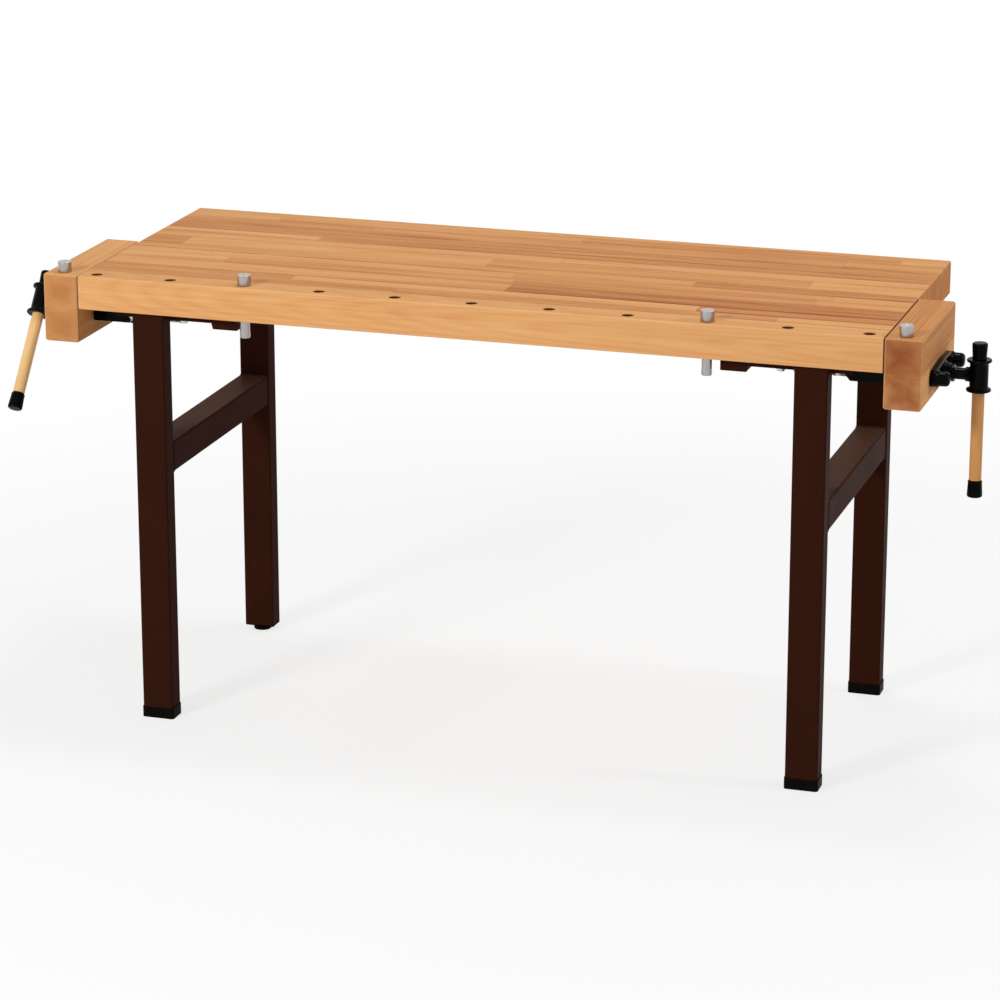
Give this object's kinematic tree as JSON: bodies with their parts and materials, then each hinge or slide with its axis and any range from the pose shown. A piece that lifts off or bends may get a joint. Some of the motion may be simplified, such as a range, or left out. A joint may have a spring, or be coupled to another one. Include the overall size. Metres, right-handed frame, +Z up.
{
  "type": "woodworking bench with vises",
  "caption": "Workbench with a thick laminated hardwood top, round dog holes along its front edge, steel leg frames and a screw vise with a sliding handle at each end.",
  "frame": {"origin": "on the floor, under the middle of the worktop", "axes": "+X along the bench to its right end, +Y from the front edge to the back, +Z up"},
  "size_m": [1.824, 0.6, 0.87],
  "materials": {
    "beech_top": "oiled laminated beech",
    "beech_jaw": "oiled beech",
    "ash_handle": "turned and lacquered",
    "brown_paint": "semi-gloss powder coat",
    "black_iron": "black enamel",
    "black_steel": "blackened and oiled",
    "black_plastic": "moulded",
    "bright_steel": "drawn bright",
    "zinc_steel": "zinc plated",
    "satin_alloy": "satin turned",
    "bronze": "cast"
  },
  "bodies": {
    "bench": {"worktop": "beech_top", "left_front_leg": "brown_paint", "left_front_arm_bolt": "zinc_steel", "left_front_lug_bolt": "zinc_steel", "left_front_foot_cap": "black_plastic", "left_back_leg": "brown_paint", "left_back_arm_bolt": "zinc_steel", "left_back_lug_bolt": "zinc_steel", "levelling_plug": "black_plastic", "left_side_rail": "brown_paint", "left_top_bearer": "brown_paint", "left_vise_bracket": "black_iron", "left_vise_nut": "bronze", "left_bracket_bolt_1": "zinc_steel", "left_bracket_bolt_2": "zinc_steel", "left_bracket_bolt_3": "zinc_steel", "left_bracket_bolt_4": "zinc_steel", "right_front_leg": "brown_paint", "right_front_arm_bolt": "zinc_steel", "right_front_lug_bolt": "zinc_steel", "right_front_foot_cap": "black_plastic", "right_back_leg": "brown_paint", "right_back_arm_bolt": "zinc_steel", "right_back_lug_bolt": "zinc_steel", "right_back_foot_cap": "black_plastic", "right_side_rail": "brown_paint", "right_top_bearer": "brown_paint", "right_vise_bracket": "black_iron", "right_vise_nut": "bronze", "right_bracket_bolt_1": "zinc_steel", "right_bracket_bolt_2": "zinc_steel", "right_bracket_bolt_3": "zinc_steel", "right_bracket_bolt_4": "zinc_steel"},
    "left_jaw_carriage": {"left_jaw": "beech_jaw", "left_vise_flange": "black_iron", "left_front_guide_rod": "bright_steel", "left_back_guide_rod": "bright_steel"},
    "left_screw_group": {"left_vise_screw": "black_steel", "left_retaining_ring": "bright_steel", "left_handle_hub": "black_iron"},
    "left_handle_group": {"left_handle_bar": "ash_handle", "left_handle_grip_upper": "black_plastic", "left_handle_grip_lower": "black_plastic"},
    "left_jaw_dog_body": {"left_jaw_dog": "satin_alloy"},
    "left_top_dog_body": {"left_top_dog": "satin_alloy"},
    "right_jaw_carriage": {"right_jaw": "beech_jaw", "right_vise_flange": "black_iron", "right_front_guide_rod": "bright_steel", "right_back_guide_rod": "bright_steel"},
    "right_screw_group": {"right_vise_screw": "black_steel", "right_retaining_ring": "bright_steel", "right_handle_hub": "black_iron"},
    "right_handle_group": {"right_handle_bar": "ash_handle", "right_handle_grip_upper": "black_plastic", "right_handle_grip_lower": "black_plastic"},
    "right_jaw_dog_body": {"right_jaw_dog": "satin_alloy"},
    "right_top_dog_body": {"right_top_dog": "satin_alloy"},
    "levelling_pad_body": {"levelling_pad": "black_plastic"},
    "levelling_screw_body": {"levelling_screw": "zinc_steel"}
  },
  "joints": [
    {"name": "left_jaw_slide", "type": "slide", "parent": "bench", "child": "left_jaw_carriage", "axis": [-1, 0, 0], "range_m": [0, 0.12]},
    {"name": "left_screw_turn", "type": "hinge", "parent": "left_jaw_carriage", "child": "left_screw_group", "pos_m": [-0.89, -0.152, 0.758], "axis": [-1, 0, 0], "range_deg": [0, 7200]},
    {"name": "left_handle_slide", "type": "slide", "parent": "left_screw_group", "child": "left_handle_group", "axis": [0, 0.6157, 0.788], "range_m": [0, 0.163]},
    {"name": "left_jaw_dog_lift", "type": "slide", "parent": "left_jaw_carriage", "child": "left_jaw_dog_body", "axis": [0, 0, 1], "range_m": [0, 0.095]},
    {"name": "left_top_dog_lift", "type": "slide", "parent": "bench", "child": "left_top_dog_body", "axis": [0, 0, 1], "range_m": [0, 0.095]},
    {"name": "right_jaw_slide", "type": "slide", "parent": "bench", "child": "right_jaw_carriage", "axis": [1, 0, 0], "range_m": [0, 0.12]},
    {"name": "right_screw_turn", "type": "hinge", "parent": "right_jaw_carriage", "child": "right_screw_group", "pos_m": [0.89, -0.152, 0.758], "axis": [1, 0, 0], "range_deg": [0, 7200]},
    {"name": "right_handle_slide", "type": "slide", "parent": "right_screw_group", "child": "right_handle_group", "axis": [0, 0, 1], "range_m": [0, 0.163]},
    {"name": "right_jaw_dog_lift", "type": "slide", "parent": "right_jaw_carriage", "child": "right_jaw_dog_body", "axis": [0, 0, 1], "range_m": [0, 0.095]},
    {"name": "right_top_dog_lift", "type": "slide", "parent": "bench", "child": "right_top_dog_body", "axis": [0, 0, 1], "range_m": [0, 0.095]},
    {"name": "levelling_pad_slide", "type": "slide", "parent": "bench", "child": "levelling_pad_body", "axis": [0, 0, -1], "range_m": [0, 0.012]},
    {"name": "levelling_screw_turn", "type": "hinge", "parent": "levelling_pad_body", "child": "levelling_screw_body", "pos_m": [-0.62, 0.265, 0.03], "axis": [0, 0, -1], "range_deg": [0, 2880]}
  ],
  "couplings": [
    {"joint": "left_jaw_slide", "follows": "left_screw_turn", "m_per_rad": 0.000954},
    {"joint": "right_jaw_slide", "follows": "right_screw_turn", "m_per_rad": 0.000954},
    {"joint": "levelling_screw_turn", "follows": "levelling_pad_slide", "rad_per_m": 4188.8}
  ]
}
